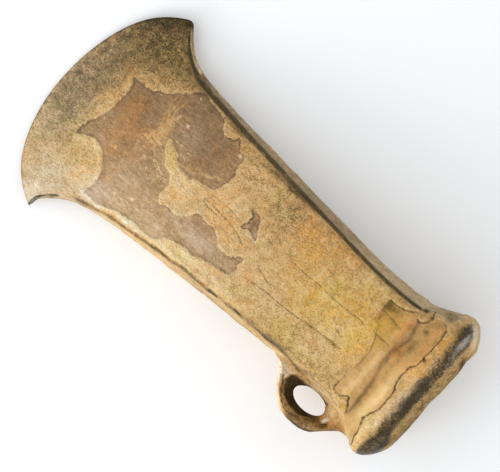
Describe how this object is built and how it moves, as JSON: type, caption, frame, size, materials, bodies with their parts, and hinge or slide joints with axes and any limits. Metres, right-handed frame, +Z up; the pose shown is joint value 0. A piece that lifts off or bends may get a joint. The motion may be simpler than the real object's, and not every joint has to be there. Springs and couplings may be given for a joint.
{
  "type": "socketed axe head",
  "caption": "Bronze socketed axe head with a flared crescent blade, thick trumpet collar, deep haft socket and one side loop.",
  "frame": {"origin": "middle of the underside's bounding box, on the surface that the axe lies on", "axes": "+X along the axe from the cutting edge towards the socket mouth, +Y across the blade away from the side loop, +Z up out of the face that shows. The axe's own axis rises towards the mouth by about 9.2 degrees, because the collar is thicker than the blade"},
  "size_m": [0.1108, 0.0556, 0.0353],
  "materials": {
    "bronze": "old patina: granular tan crust flaked off to smooth purple-brown, worn darker and slightly shiny on the arrises"
  },
  "bodies": {
    "root": {"axe_head": "bronze"}
  },
  "joints": []
}
